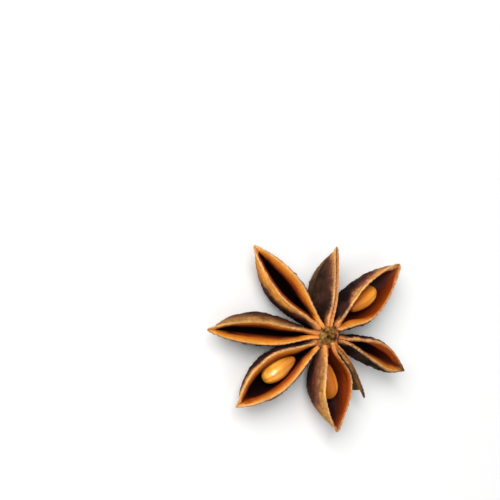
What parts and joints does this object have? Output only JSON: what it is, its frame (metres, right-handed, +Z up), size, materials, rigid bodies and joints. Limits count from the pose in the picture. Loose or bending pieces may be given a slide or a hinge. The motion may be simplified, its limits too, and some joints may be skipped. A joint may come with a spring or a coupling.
{
  "type": "star anise pod",
  "caption": "Dried star-shaped spice fruit: woody boat-shaped pod segments round a short column, some split open with a glossy seed inside, others shut.",
  "frame": {"origin": "middle of the broken stalk's scar under the central column, in the plane the pod rests on", "axes": "+Z up out of the open side of the star, +X and +Y across it with the longest reach along X"},
  "size_m": [0.0408, 0.0319, 0.008],
  "materials": {
    "pod": "dry woody fruit wall, wrinkled and dull outside, smooth and faintly waxy inside",
    "seeds": "hard polished amber seed coat"
  },
  "bodies": {
    "root": {"pod": "pod", "seed_1": "seeds", "seed_2": "seeds", "seed_3": "seeds"}
  },
  "joints": []
}
